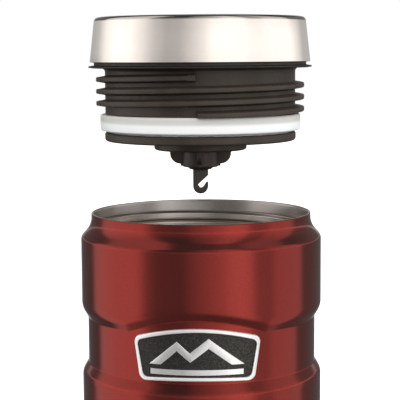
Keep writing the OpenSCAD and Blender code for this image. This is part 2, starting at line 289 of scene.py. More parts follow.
def skin(sections, wrap=True):
    """Closed mesh through a list of closed loops of points. Without wrap its ends are capped."""
    mesh = bmesh.new()
    loops = [[mesh.verts.new(Vector(p) * MM) for p in section] for section in sections]
    for a, b in zip(loops, loops[1:] + loops[:1] if wrap else loops[1:]):
        for i, j in zip(range(len(a)), list(range(1, len(a))) + [0]):
            mesh.faces.new((a[i], a[j], b[j], b[i]))
    if not wrap:
        mesh.faces.new(loops[0])
        mesh.faces.new(loops[-1])
    bmesh.ops.remove_doubles(mesh, verts=mesh.verts, dist=1e-7)
    bmesh.ops.recalc_face_normals(mesh, faces=mesh.faces)
    return mesh


def turned(outline, steps=192):
    """Solid of revolution of a closed outline in radius and height."""
    angles = [2 * math.pi * i / steps for i in range(steps)]
    return skin([[(r * math.cos(a), r * math.sin(a), z) for r, z in outline] for a in angles])


def ridge(section, root, lead, turns, start, low, fade_in, fade_out, per_turn=120):
    """Ridge of a screw thread: a section of (radius, height) points swept up a helix.

    Over its first and last degrees, fade_in and fade_out, it sinks back to its root radius.
    """
    count = math.ceil(turns * per_turn)
    even = [360 * turns * i / count for i in range(count + 1)]
    eased = [fade_in * k / 4 for k in (1, 2, 3)] + [360 * turns - fade_out * k / 4 for k in (1, 2, 3)]
    loops = []
    for degrees in sorted(even + eased):
        rise = min(1, degrees / fade_in, (360 * turns - degrees) / fade_out)
        rise = max(0.02, math.sin(math.pi / 2 * max(0, rise)))
        a = math.radians(start + degrees)
        z = low + lead * degrees / 360
        heights = [(root + (r - root) * rise if abs(r - root) > 0.3 else r, h) for r, h in section]
        loops.append([(r * math.cos(a), r * math.sin(a), z + h) for r, h in heights])
    return skin(loops, wrap=False)


def block(low, high, bevel):
    """Box between two corners, with rounded edges."""
    mesh = bmesh.new()
    bmesh.ops.create_cube(mesh, size=1)
    size = Vector(high) - Vector(low)
    middle = (Vector(high) + Vector(low)) / 2
    bmesh.ops.scale(mesh, vec=size * MM, verts=mesh.verts)
    bmesh.ops.translate(mesh, vec=middle * MM, verts=mesh.verts)
    bmesh.ops.bevel(mesh, geom=mesh.edges[:], offset=bevel * MM, segments=3, profile=0.5,
                    affect="EDGES")
    return mesh


def plate(outline, y0, y1, bevel):
    """Flat plate of an outline in x and z between two depths, with rounded edges."""
    mesh = bmesh.new()
    face = mesh.faces.new([mesh.verts.new((x * MM, y0 * MM, z * MM)) for x, z in outline])
    grown = bmesh.ops.extrude_face_region(mesh, geom=[face])["geom"]
    moved = [g for g in grown if isinstance(g, bmesh.types.BMVert)]
    bmesh.ops.translate(mesh, vec=(0, (y1 - y0) * MM, 0), verts=moved)
    bmesh.ops.recalc_face_normals(mesh, faces=mesh.faces)
    rims = [e for e in mesh.edges if any(len(f.verts) > 4 for f in e.link_faces)]
    bmesh.ops.bevel(mesh, geom=rims, offset=bevel * MM, segments=3, profile=0.5,
                    affect="EDGES", clamp_overlap=True)
    return mesh


def lifted(mesh, z):
    """The mesh moved up by z."""
    bmesh.ops.translate(mesh, vec=(0, 0, z * MM), verts=mesh.verts)
    return mesh


def spun(mesh, degrees):
    """The mesh turned about the Z axis."""
    turn = Matrix.Rotation(math.radians(degrees), 3, "Z")
    bmesh.ops.rotate(mesh, matrix=turn, verts=mesh.verts)
    return mesh


def cut_below(mesh, z):
    """The mesh with all that lies under height z cut off, and the cut closed."""
    geom = mesh.verts[:] + mesh.edges[:] + mesh.faces[:]
    cut = bmesh.ops.bisect_plane(mesh, geom=geom, plane_co=(0, 0, z * MM), plane_no=(0, 0, 1),
                                 clear_inner=True)["geom_cut"]
    bmesh.ops.contextual_create(mesh, geom=[g for g in cut if isinstance(g, bmesh.types.BMEdge)])
    return mesh


def on_waist(mesh):
    """Lays a flat mesh round the front of the waist. How far it stands to -Y becomes its height."""
    for v in mesh.verts:
        radius = WAIST_R * MM - v.co.y
        v.co.y = -math.sqrt(radius**2 - v.co.x**2)
    return mesh


def piece(name, meshes, coat, body, slot, *stands_for, smooth=32):
    """Joins meshes into one piece that rides on a body and stands for CAD nodes.

    Edges sharper than smooth degrees stay sharp.
    """
    data = bpy.data.meshes.new(name)
    whole = bmesh.new()
    for mesh in meshes:
        part = bpy.data.meshes.new("part")
        mesh.to_mesh(part)
        mesh.free()
        whole.from_mesh(part)
        bpy.data.meshes.remove(part)
    whole.to_mesh(data)
    whole.free()
    data.shade_smooth()
    data.set_sharp_from_angle(angle=math.radians(smooth))
    data.materials.append(coat)
    made = bpy.data.objects.new(name, data)
    bpy.context.scene.collection.objects.link(made)
    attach(made, body)
    if stands_for:
        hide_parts(*stands_for)


# ---- Material nodes -----------------------------------------------------------------------


class Coat:
    """A material under construction: its Principled shader and the nodes that feed it."""

    def __init__(self, name, **sockets):
        self.material = bpy.data.materials.new(name)
        self.material.use_nodes = True
        self.nodes = self.material.node_tree.nodes
        self.links = self.material.node_tree.links
        self.shader = self.nodes["Principled BSDF"]
        for socket, value in sockets.items():
            self.shader.inputs[socket.replace("_", " ")].default_value = value
        self.place = self.nodes.new("ShaderNodeTexCoord").outputs["Object"]

    def link(self, output, node, socket):
        """Joins an output to a node's input of that name."""
        self.links.new(output, node.inputs[socket])

    def stretched(self, x, y, z):
        """The place on the object, scaled along each axis."""
        mapping = self.nodes.new("ShaderNodeMapping")
        mapping.inputs["Scale"].default_value = (x, y, z)
        self.link(self.place, mapping, "Vector")
        return mapping.outputs["Vector"]

    def noise(self, per_mm, detail=3.0, place=None, roughness=0.5):
        """Noise of so many waves per millimetre."""
        node = self.nodes.new("ShaderNodeTexNoise")
        node.inputs["Scale"].default_value = per_mm / MM
        node.inputs["Detail"].default_value = detail
        node.inputs["Roughness"].default_value = roughness
        self.link(place or self.place, node, "Vector")
        return node.outputs["Fac"]

    def height(self, low, high):
        """Height on the object as a share of the way from low to high, in millimetres."""
        split = self.nodes.new("ShaderNodeSeparateXYZ")
        self.link(self.place, split, "Vector")
        return self.ranged(split.outputs["Z"], 0, 1, low * MM, high * MM)

    def cells(self, per_mm, output="Distance"):
        """Voronoi cells, so many per millimetre."""
        node = self.nodes.new("ShaderNodeTexVoronoi")
        node.inputs["Scale"].default_value = per_mm / MM
        self.link(self.place, node, "Vector")
        return node.outputs[output]

    def ranged(self, value, low, high, low_in=0.3, high_in=0.7):
        """The value from low_in to high_in mapped to low to high."""
        node = self.nodes.new("ShaderNodeMapRange")
        self.link(value, node, "Value")
        for socket, number in zip(("From Min", "From Max", "To Min", "To Max"),
                                  (low_in, high_in, low, high)):
            node.inputs[socket].default_value = number
        return node.outputs["Result"]

    def colours(self, value, *stops):
        """The value as a colour: stops are (position, (red, green, blue))."""
        node = self.nodes.new("ShaderNodeValToRGB")
        ramp = node.color_ramp
        while len(ramp.elements) < len(stops):
            ramp.elements.new(0.5)
        for element, (position, colour) in zip(ramp.elements, stops):
            element.position = position
            element.color = (*colour, 1)
        self.link(value, node, "Fac")
        return node.outputs["Color"]

    def colour(self, value, *stops):
        """Colours the surface by the value."""
        self.link(self.colours(value, *stops), self.shader, "Base Color")

    def rough(self, value, low, high):
        """Roughens the surface by the value, from low to high."""
        self.link(self.ranged(value, low, high), self.shader, "Roughness")

    def bump(self, value, depth_mm):
        """Raises the surface by the value, to a depth in millimetres."""
        node = self.nodes.new("ShaderNodeBump")
        node.inputs["Strength"].default_value = 1.0
        node.inputs["Distance"].default_value = depth_mm * MM
        self.link(value, node, "Height")
        self.link(node.outputs["Normal"], self.shader, "Normal")


def shades(colour, *factors):
    """The colour multiplied by each factor."""
    return [tuple(min(1, c * f) for c in colour) for f in factors]


# ---- Materials ----------------------------------------------------------------------------


def lacquer():
    """Translucent red lacquer over bright steel, with fine flake and a clear gloss."""
    coat = Coat("lacquer", Metallic=1.0, Roughness=0.2, Coat_Weight=0.4, Coat_Roughness=0.04,
                Coat_IOR=1.3, Sheen_Weight=0.02, Sheen_Roughness=1.0, Sheen_Tint=(0.9, 1, 0.9, 1),
                Specular_Tint=(0.8, 0.76, 0.76, 1))
    dark, mid, light = shades((0.309, 0.0285, 0.0212), 0.85, 1.0, 1.15)
    flake = coat.cells(5.0, "Color")
    cloud = coat.noise(0.05, 2)
    coat.colour(coat.ranged(flake, 0.25, 0.75, 0, 1), (0.2, dark), (0.5, mid), (0.8, light))
    coat.rough(cloud, 0.14, 0.2)
    coat.bump(coat.noise(3.0, 2), 0.0006)
    return coat.material


def brushed_steel(name, colour, rough):
    """Steel with fine lines round the Z axis, as it comes off a lathe."""
    coat = Coat(name, Metallic=1.0)
    lines = coat.noise(1.0, 6, coat.stretched(0.02, 0.02, 9.0), 0.7)
    cloud = coat.noise(0.12, 3)
    dark, light = shades(colour, 0.97, 1.02)
    coat.colour(cloud, (0.35, dark), (0.65, light))
    coat.rough(lines, rough * 0.8, rough * 1.25)
    coat.bump(lines, 0.0006)
    return coat.material


def vessel_steel():
    """Steel of the vessel: satin at the mouth, with painted shade darkening its colour there and painted
    light brightening it from the thread downwards.
    """
    coat = Coat("vessel_steel", Metallic=0.93)
    share = coat.height(PAINTED_SHADE_LOW, PAINTED_SHADE_TOP)
    # Painted light and shade: the colour is lighter from the thread downwards and darker at the mouth
    coat.colour(share, (0, (0.66, 0.6, 0.55)), (1, (0.41, 0.37, 0.34)))
    coat.rough(share, 0.16, 0.2)
    coat.bump(coat.noise(2.5, 4), 0.0004)
    return coat.material


def pressed_steel(name, colour, rough):
    """Satin steel sheet with faint random marks."""
    coat = Coat(name, Metallic=1.0)
    dark, light = shades(colour, 0.88, 1.06)
    coat.colour(coat.noise(0.15, 4), (0.35, dark), (0.65, light))
    coat.rough(coat.noise(0.6, 5), rough * 0.85, rough * 1.2)
    coat.bump(coat.noise(2.5, 4), 0.0004)
    return coat.material


def moulded_plastic(name, colour, rough):
    """Moulded plastic with a fine satin grain and slightly uneven colour."""
    coat = Coat(name, Specular_IOR_Level=0.45, Specular_Tint=(1, 0.9, 0.82, 1))
    dark, mid, light = shades(colour, 0.86, 1.0, 1.16)
    coat.colour(coat.noise(0.22, 5), (0.3, dark), (0.5, mid), (0.7, light))
    coat.rough(coat.noise(0.9, 3), rough * 0.85, rough * 1.2)
    coat.bump(coat.noise(4.0, 3), 0.008)
    return coat.material


def silicone():
    """Milky silicone that light soaks into."""
    coat = Coat("silicone", Subsurface_Weight=0.5, Subsurface_Scale=0.0015, IOR=1.41)
    coat.shader.inputs["Subsurface Radius"].default_value = (1.0, 1.0, 1.0)
    # Its upper half, over the core's shoulder, is painted darker as painted shade
    share = coat.height(LID_Z + SEAL_LOW, LID_Z + CORE_LOW)
    coat.colour(share, (0, (0.86, 0.89, 0.89)), (0.5, (0.88, 0.9, 0.9)), (0.66, (0.62, 0.61, 0.58)),
                (1, (0.56, 0.55, 0.52)))
    coat.rough(coat.noise(0.8, 4), 0.28, 0.42)
    coat.bump(coat.noise(1.5, 3), 0.002)
    return coat.material


def rubber(name, colour, rough=0.55):
    """Matt rubber with a dusty bloom in its grain."""
    coat = Coat(name, Specular_IOR_Level=0.4)
    dark, light = shades(colour, 0.8, 1.35)
    coat.colour(coat.noise(0.5, 5), (0.35, dark), (0.7, light))
    coat.rough(coat.noise(1.2, 4), rough * 0.85, rough * 1.15)
    coat.bump(coat.noise(5.0, 3), 0.012)
    return coat.material


def chrome(name="badge_chrome", metallic=0.5):
    """Satin plating with the faint haze of handling."""
    coat = Coat(name, Metallic=metallic)
    coat.colour(coat.noise(0.3, 3), (0.35, (0.91, 0.89, 0.87)), (0.65, (0.98, 0.96, 0.94)))
    coat.rough(coat.noise(0.5, 4), 0.12, 0.2)
    return coat.material


def speckled_metal():
    """Dark plate of the badge: gunmetal with a fine sparkle."""
    coat = Coat("badge_dark", Metallic=0.8)
    speckle = coat.cells(4.0, "Color")
    coat.colour(coat.ranged(speckle, 0, 1, 0, 1),
                (0.25, (0.03, 0.029, 0.026)), (0.6, (0.048, 0.045, 0.04)), (0.95, (0.085, 0.08, 0.07)))
    coat.rough(coat.noise(1.5, 3), 0.35, 0.5)
    coat.bump(coat.cells(4.0), 0.02)
    return coat.material


def crinkled_foil():
    """Copper-toned foil with sharp creases."""
    coat = Coat("foil", Metallic=1.0)
    coat.colour(coat.noise(0.2, 3), (0.3, (0.72, 0.5, 0.36)), (0.7, (0.9, 0.7, 0.55)))
    coat.rough(coat.noise(0.6, 3), 0.12, 0.3)
    coat.bump(coat.cells(0.25), 0.4)
    return coat.material


# ---- Flask --------------------------------------------------------------------------------


def flask_side(inset=0.0):
    """Outer profile of the flask from its lip to the foot, as (radius, height, lift).

    The points with lift 1 belong to the step that rises into an arch over the badge.
    """
    shoulder = step_down(MOUTH_R, FLASK_H - LIP_H, BAND_R, *NECK_STEP, inset)
    waist = step_down(BAND_R, WAIST_TOP, WAIST_R, *WAIST_STEP, inset)
    band = step_down(WAIST_R, WAIST_LOW, LOW_BAND_R, *LOW_BAND_STEP, inset)
    foot = arc(FOOT_R - FOOT_ROUND, FOOT_Z + FOOT_ROUND, FOOT_ROUND - inset, 0, -90)
    side = [(r, z, 0) for r, z in shoulder]
    if inset == 0:
        lip = arc(MOUTH_R - LIP_ROUND, FLASK_H - LIP_ROUND, LIP_ROUND, 90, 0, 5)
        side = [(r, z, 0) for r, z in lip] + side
    side += [(r, z, 1) for r, z in waist]
    side += [(r, z, 0) for r, z in band + [(LOW_BAND_R - inset, TAPER_TOP)] + foot]
    return side


def flask_angles():
    """Angles from the front of the flask. They meet the arch's two ends exactly."""
    end = math.degrees(math.asin(ARCH_HALF / WAIST_R))
    front = [-end + 2 * end * i / ARCH_STEPS for i in range(ARCH_STEPS)]
    back = [end + (360 - 2 * end) * i / BACK_STEPS for i in range(BACK_STEPS)]
    return [math.radians(a) for a in front + back]


def arch(angle):
    """How far the waist's upper step rises at an angle from the front."""
    across = WAIST_R * math.sin(angle) / ARCH_HALF
    return ARCH_RISE * (1 - across**2) if math.cos(angle) > 0 and abs(across) < 1 else 0


def outer_wall(coat):
    """Spun outer wall, whose step over the badge rises into an arch."""
    inner = flask_side(WALL)[::-1]
    loop = held(flask_side() + inner)
    sections = [[(r * math.sin(a), -r * math.cos(a), z + lift * arch(a)) for r, z, lift in loop]
                for a in flask_angles()]
    piece("outer_wall", [skin(sections)], coat, "flask", "lacquer", "outer_shell")


def vessel_profile():
    """Half section of the inner vessel, whose bare edge shows at the mouth."""
    low = VESSEL_LOW_R - VESSEL_ROUND
    inside = [(0, VESSEL_FLOOR)]
    inside += arc(low, VESSEL_FLOOR + VESSEL_ROUND, VESSEL_ROUND, -90, 0, 14)
    inside += [(SEAT_R, SEAT_TOP), (SEAT_R + 0.15, SEAT_TOP + 0.1), (BORE_R - 0.15, BORE_LOW - 0.15),
               (BORE_R, BORE_LOW), (BORE_R, FLARE_LOW)]
    lip = [(BORE_R + FLARE, FLARE_TOP), (BORE_R + 0.48, FLASK_H - 0.22)]
    lip += arc(BORE_R + 0.65, FLASK_H - EDGE_ROUND, EDGE_ROUND, 150, 90, 6)
    outside = [(MOUTH_R - LIP_ROUND, FLASK_H), (MOUTH_R - LIP_ROUND, FLASK_H - LIP_H),
               (MOUTH_R - WALL, FLASK_H - LIP_H), (MOUTH_R - WALL, BORE_LOW),
               (SEAT_R + WALL, SEAT_TOP - 0.4)]
    outside += arc(low, VESSEL_FLOOR + VESSEL_ROUND, VESSEL_ROUND + WALL, 0, -90, 14)
    return held(inside + lip + outside + [(0, VESSEL_FLOOR - WALL)])


def vessel(coat):
    """The vessel, with its thread as a rolled ridge inside the bore."""
    section = rounded([(BORE_R + 0.4, -2.1, 0), (BORE_R + 0.4, 1.75, 0), (BORE_R + 0.02, 1.75, 0),
                       (BORE_R, 1.4, 0.25), (BORE_CREST_R + 0.17, 0.85, 0.2),
                       (BORE_CREST_R, -0.85, 0.15), (BORE_R - 0.32, -1.15, 0.05),
                       (BORE_R + 0.02, -2.1, 0)])
    section = held(section, 0.4, 0.04)
    thread = ridge(section, BORE_R, THREAD_LEAD, BORE_THREAD_TURNS, 90, BORE_THREAD_LOW,
                   BORE_THREAD_FADE, BORE_THREAD_FADE)
    piece("vessel", [turned(vessel_profile(), 256), thread], coat, "flask",
          "vessel_steel", "inner_vessel")


def foot(rubber_coat, steel_coat):
    """Rubber ring that the flask stands on, and the steel cover inside it."""
    inner, outer = box("base_cover")[1].x, box("foot_ring")[1].x
    ring = rounded([(inner, 0, 0.7), (outer - 0.3, 0, 0.7), (outer, FOOT_Z, 0.15),
                    (inner, FOOT_Z, 0.1)])
    cover = [(0, COVER_LOW), (inner - 6, COVER_LOW), (inner - 5.4, COVER_BEAD),
             (inner - 4.8, COVER_BEAD), (inner - 4.2, COVER_LOW), (inner - 0.4, COVER_LOW),
             (inner, 1.1), (inner, FOOT_Z), (inner - 1.4, FOOT_Z), (inner - 2, COVER_TOP),
             (0, COVER_TOP)]
    piece("foot_rubber_ring", [turned(ring)], rubber_coat, "flask", "foot_rubber", "foot_ring")
    piece("bottom_cover", [turned(cover)], steel_coat, "flask", "base_steel", "base_cover")


# ---- Badge --------------------------------------------------------------------------------


def at_waist(x, z, height):
    """The point at x and z on the front of the waist, standing height above it."""
    radius = WAIST_R + height
    return (x, -math.sqrt(radius**2 - x**2), z)


def badge_plate(coat):
    """Plate whose face is a set of shrinking copies of its outline."""
    middle = Vector((0, (BADGE_LOW + BADGE_TOP) / 2))
    edge = [Vector(p) for p in badge_outline(FRAME_W * 0.6)]
    sections = []
    shares = [1 - i / 14 for i in range(15)]
    for height, order in ((0.02, shares[::-1]), (PLATE_H, shares)):
        for share in order:
            ring = [middle + (p - middle) * share for p in edge]
            sections.append([at_waist(p.x, p.y, height) for p in ring])
    piece("badge_face", [skin(sections)], coat, "flask", "badge_dark", "badge_plate")


def badge_frame(coat):
    """Polished frame with a rounded section."""
    across = rounded([(0, 0, 0), (0, FRAME_H, 0.3), (FRAME_W, FRAME_H, 0.3), (FRAME_W, 0.1, 0)], 5)
    sections = [[at_waist(x, z, height) for x, z in badge_outline(shrink)]
                for shrink, height in across]
    piece("badge_border", [skin(sections)], coat, "flask", "badge_chrome", "badge_frame",
          smooth=60)


def emblem(coat):
    """Two peaks over a bar, as raised polished metal."""
    middle = (BADGE_TOP + BADGE_LOW) / 2 - 0.4
    peaks = [(-13.6, -2.3), (-5.6, 4.5), (-1.9, 1.2), (3.4, 5.4), (13.6, -2.3), (9.9, -2.3),
             (3.4, 2.5), (-1.8, -1.5), (-5.6, 1.8), (-10.2, -2.3)]
    bar = [(-13.2, -5.1), (13.2, -5.1), (13.2, -3.6), (-13.2, -3.6)]
    meshes = []
    for shape in (peaks, bar):
        outline = [(x, z + middle) for x, z in shape]
        mesh = plate(outline, -EMBLEM_H, -PLATE_H + 0.1, 0.12)
        # Cut into strips 1 mm wide, so that it can bend round the waist
        for k in range(-13, 14):
            geom = mesh.verts[:] + mesh.edges[:] + mesh.faces[:]
            bmesh.ops.bisect_plane(mesh, geom=geom, plane_co=(k * MM, 0, 0), plane_no=(1, 0, 0))
        meshes.append(on_waist(mesh))
    piece("badge_peaks", meshes, coat, "flask", "badge_chrome", "badge_emblem")


# ---- Lid ----------------------------------------------------------------------------------


def gasket(coat):
    """Flat ring under the lid's flange, with a soft lip that seals on the mouth."""
    outline = rounded([(CORE_R + 0.07, 0.02, 0), (GASKET_R - 1.2, 0.02, 0.1),
                       (GASKET_R - 0.1, 0.2, 0.15), (GASKET_R, 0.4, 0.1), (GASKET_R - 0.1, 0.6, 0.15),
                       (GASKET_R - 1.2, GASKET_H, 0.1), (CORE_R + 0.07, GASKET_H, 0)], 4)
    piece("mouth_gasket", [lifted(turned(outline), LID_Z)], coat, "gasket",
          "gasket_rubber", "rim_gasket")


def steel_rim(coat):
    """Drinking rim: a slightly tapered steel band, rolled over at the top."""
    centre_r, centre_z = RIM_TOP_R - RIM_ROUND, RIM_TOP - RIM_ROUND
    outline = [(RIM_LOW_R - 0.12, RIM_Z), (RIM_LOW_R, RIM_Z + 0.15)]
    outline += arc(centre_r, centre_z, RIM_ROUND, 5, 180, 24)
    outline += [(RIM_TOP_R - 2 * RIM_ROUND, RIM_TOP - RIM_ROLL),
                (RIM_TOP_R - 2 * RIM_ROUND + RIM_WALL, RIM_TOP - RIM_ROLL)]
    outline += arc(centre_r, centre_z, RIM_ROUND - RIM_WALL, 180, 0, 24)
    outline += [(RIM_LOW_R - RIM_WALL, RIM_Z)]
    piece("drinking_rim", [lifted(turned(held(outline), 256), LID_Z)], coat, "lid",
          "rim_steel", "drink_rim")


def trough(coat):
    """Plastic collar that slopes from the steel rim down to the valve."""
    low = RIM_TOP - RIM_ROLL
    slope = (RIM_LOW_R - RIM_TOP_R) / (RIM_TOP - RIM_Z - RIM_ROUND)
    outline = rounded([(CORE_IN_R, RIM_Z, 0), (RIM_LOW_R - RIM_WALL, RIM_Z, 0),
                       (RIM_LOW_R - RIM_WALL - slope * (low - RIM_Z), low, 0),
                       (RIM_TOP_R - 2 * RIM_ROUND, low, 0.2), (CORE_IN_R + 0.4, DISH_Z + 0.6, 1.5),
                       (CORE_IN_R, DISH_Z - 0.8, 0.4)])
    piece("drinking_trough", [lifted(turned(outline), LID_Z)], coat, "lid",
          "lid_plastic", "lid_collar")


def thread_section():
    """Section of the lid's thread: sloped flanks with fillets at the root and a rounded crest."""
    return rounded([(CORE_R - ROOT_IN, 1.7, 0), (CORE_R - ROOT_IN, -1.7, 0),
                    (CORE_R - 0.02, -1.7, 0), (CORE_R, -1.1, 0.35), (CREST_R, -0.66, 0.35),
                    (CREST_R, 0.66, 0.35), (CORE_R, 1.1, 0.35), (CORE_R - 0.02, 1.7, 0)])


def stop_lug():
    """Block that closes the upper end of the thread, where the lid comes to a stop."""
    section = rounded([(CORE_R - ROOT_IN, -LUG_HALF, 0), (CREST_R, -LUG_HALF, 0.2),
                       (CREST_R, LUG_HALF, 0.2), (CORE_R - ROOT_IN, LUG_HALF, 0)])
    turns = LUG_ANGLE / 360
    top = THREAD_LOW + THREAD_LEAD * (THREAD_TURNS - turns)
    return ridge(section, CORE_R, THREAD_LEAD, turns, -90 - LUG_ANGLE, top, 0.1, 0.1, 720)


def spider():
    """Three arms with the knob's bearing in their middle, and a hole in each for a post."""
    hub = rounded([(STEM_BORE_R, HUB_LOW, 0.2), (HUB_R, HUB_LOW, 0.5), (HUB_R, HUB_TOP, 0.5),
                   (STEM_BORE_R, HUB_TOP, 0.2)])
    parts = [turned(hub, 96)]
    side, hole = ARM_W / 2, POST_R + POST_GAP
    for k in range(ARMS):
        # Each arm is drawn towards +X as two rails with a ring round the post's hole between them
        ring = turned(rounded([(hole, HUB_LOW, 0.15), (side, HUB_LOW, 0.3), (side, HUB_TOP, 0.3),
                               (hole, HUB_TOP, 0.15)]), 64)
        bmesh.ops.translate(ring, vec=(POST_RING_R * MM, 0, 0), verts=ring.verts)
        inner = block((HUB_R - 1.5, -side, HUB_LOW), (POST_RING_R - hole, side, HUB_TOP), 0.3)
        outer = block((POST_RING_R + hole, -side, HUB_LOW), (CORE_IN_R + 0.4, side, HUB_TOP), 0.3)
        rails = [block((POST_RING_R - hole - 0.6, s * hole, HUB_LOW),
                       (POST_RING_R + hole + 0.6, s * side, HUB_TOP), 0.2)
                 for s in (-1, 1)]
        parts += [spun(part, FIRST_ARM + 360 * k / ARMS) for part in (ring, inner, outer, *rails)]
    return parts


def core(coat):
    """Threaded core of the lid, with the flange above it and the spider inside."""
    outline = rounded([(CORE_IN_R, RIM_Z, 0), (CORE_IN_R, SEAL_STEP + 1.5, 0.4),
                       (SEAT_IN_R, SEAL_LOW + 0.7, 0.2), (SEAT_IN_R, SEAL_LOW + 0.2, 0.1),
                       (NECK_R, SEAL_LOW + 0.2, 0.1), (NECK_R, CORE_LOW, 0), (CORE_R, CORE_LOW, 0.25),
                       (CORE_R, 0.02, 0), (CORE_R, GASKET_H + 0.02, 0),
                       (FLANGE_R, GASKET_H + 0.02, 0.12), (FLANGE_R, RIM_Z, 0)])
    thread = ridge(thread_section(), CORE_R, THREAD_LEAD, THREAD_TURNS, -90, THREAD_LOW, 1.5, 3)
    # The fillet under the flange that the gasket is pressed over
    fillet = [(CORE_R - 0.3, -0.08), (CORE_R - 0.3, -1.25)]
    fillet += arc(CORE_R + 1.1, -1.15, 1.1, 180, 90, 8)
    parts = [turned(outline, 256), cut_below(thread, CORE_LOW), stop_lug(), turned(fillet, 256)]
    parts += spider()
    piece("threaded_core", [lifted(part, LID_Z) for part in parts], coat, "lid",
          "lid_plastic", "lid_core")


def seal(coat):
    """Stepped silicone ring that closes the flask's bore."""
    outline = rounded([(NECK_R, SEAL_LOW, 0), (SEAL_LIP_R, SEAL_LOW, 0.35),
                       (SEAL_LIP_R, SEAL_STEP, 0.15), (SEAL_R, SEAL_STEP, 0.45),
                       (SEAL_R, CORE_LOW, 0.6), (NECK_R, CORE_LOW, 0)])
    piece("bore_seal", [lifted(turned(outline, 256), LID_Z)], coat, "lid",
          "silicone", "lid_seal")


# ---- Knob and valve -----------------------------------------------------------------------


def cam_ridges():
    """Ridges inside the knob's stem, which run between those on the valve's stem."""
    section = [(CAM_GROOVE_R + 0.1, CAM_FOOT_HALF), (CAM_R, CAM_TIP_HALF), (CAM_R, -CAM_TIP_HALF),
               (CAM_GROOVE_R + 0.1, -CAM_FOOT_HALF)]
    turns = (CAM_TOP - CAM_LOW) / CAM_LEAD
    first = 180 / CAM_STARTS + 360 * CAM_LOW / CAM_LEAD
    starts = [first + 360 * k / CAM_STARTS for k in range(CAM_STARTS)]
    return [ridge(section, CAM_GROOVE_R, CAM_LEAD, turns, start, CAM_LOW, CAM_FADE, CAM_FADE)
            for start in starts]


def knob(coat, pad_coat):
    """Disc with a grip bar across it, on the stem that turns the valve's cam."""
    top = KNOB_Z + KNOB_PLATE
    clip = HUB_LOW - 0.1
    outline = rounded([(CAM_GROOVE_R, KNOB_STEM_LOW, 0.1), (KNOB_STEM_R, KNOB_STEM_LOW, 0.4),
                       (KNOB_STEM_R, clip - 1, 0), (STEM_GROOVE_R, clip - 1, 0),
                       (STEM_GROOVE_R, clip, 0), (KNOB_STEM_R, clip, 0),
                       (KNOB_STEM_R, HUB_TOP + 0.2, 0),
                       (HUB_R, HUB_TOP + 0.2, 0.3), (HUB_R, KNOB_Z, 0.4), (KNOB_R, KNOB_Z, 0.8),
                       (KNOB_R, top, 1.4), (KNOB_R - 2.6, top, 0.4), (KNOB_R - 3.2, top - 0.4, 0.3),
                       (0, top - 0.4, 0), (0, STEM_BORE_TOP, 0), (CAM_R, STEM_BORE_TOP, 0),
                       (CAM_R, CAM_GROOVE_TOP, 0.1), (CAM_GROOVE_R, CAM_GROOVE_TOP, 0)])
    side = GRIP_W / 2
    bar = block((-GRIP_HALF, -side, top - 0.8), (GRIP_HALF, side, GRIP_TOP - PAD_H), 0.9)
    skirt = block((-GRIP_HALF - 0.8, -side - 0.8, top - 0.9), (GRIP_HALF + 0.8, side + 0.8, top + 0.1),
                  0.45)
    ribs = [(GRIP_HALF, GRIP_TOP - PAD_H), (GRIP_HALF, GRIP_TOP - PAD_RIB_DEPTH)]
    width = 2 * GRIP_HALF / PAD_RIBS
    for k in range(PAD_RIBS):
        right = GRIP_HALF - width * k
        ribs += [(right - PAD_RIB_SLOPE, GRIP_TOP), (right - width + PAD_RIB_SLOPE, GRIP_TOP),
                 (right - width, GRIP_TOP - PAD_RIB_DEPTH)]
    ribs.append((-GRIP_HALF, GRIP_TOP - PAD_H))
    pad = plate(ribs, -side, side, 0.3)
    parts = [turned(outline), bar, skirt, *cam_ridges()]
    piece("turn_knob", [lifted(part, LID_Z) for part in parts], coat, "knob", "knob_plastic",
          "twist_knob")
    piece("knob_pad", [lifted(pad, LID_Z)], pad_coat, "knob", "pad_rubber", "grip_pad")


def valve(coat):
    """Round plate that closes the lid from below, with posts that keep it from turning."""
    outline = rounded([(NUT_BORE_R, DISC_LOW, 0), (DISC_R, DISC_LOW, 0.9), (DISC_R, DISC_TOP, 0.5),
                       (DISC_R - 2.2, DISC_TOP, 0), (NUT_BORE_R, DISC_TOP, 0)])
    post = rounded([(0, DISC_TOP - 0.5, 0), (POST_R, DISC_TOP - 0.5, 0), (POST_R, POST_TOP, 0.4),
                    (0, POST_TOP, 0)])
    parts = [turned(outline, 256)]
    for k in range(ARMS):
        one = turned(post, 48)
        bmesh.ops.translate(one, vec=(POST_RING_R * MM, 0, 0), verts=one.verts)
        parts.append(spun(one, FIRST_ARM + 360 * k / ARMS))
    piece("valve_plate", [lifted(part, LID_Z) for part in parts], coat, "valve",
          "lid_plastic", "valve_disc")


def hub(coat):
    """Nut under the valve plate, with four ribs that steady the hook's boss."""
    outline = rounded([(NUT_BORE_R, DISC_LOW, 0), (NUT_BORE_R, NUT_LOW + 0.6, 0), (0, NUT_LOW + 0.6, 0),
                       (0, TIP_LOW, 0), (3.2, TIP_LOW, 0.25), (4.1, BOSS_LOW, 0.15),
                       (BOSS_R, BOSS_LOW, 0.5), (BOSS_R, NUT_LOW, 0.35), (NUT_R, NUT_LOW, 0.8),
                       (NUT_R, DISC_LOW, 0.15)])
    rib = [(BOSS_R - 1, RIB_FOOT), (RIB_R - RIB_ROUND, RIB_FOOT)]
    rib += arc(RIB_R - RIB_ROUND, RIB_LOW + RIB_ROUND, RIB_ROUND, -90, 0, 14)
    rib += [(RIB_TOP_R, NUT_LOW + 0.3), (BOSS_R - 1, NUT_LOW + 0.3)]
    parts = [turned(outline)]
    parts += [spun(plate(rib, -RIB_T / 2, RIB_T / 2, 0.25), 90 * k) for k in range(4)]
    piece("ribbed_hub", [lifted(part, LID_Z) for part in parts], coat, "valve",
          "lid_plastic", "hook_nut")


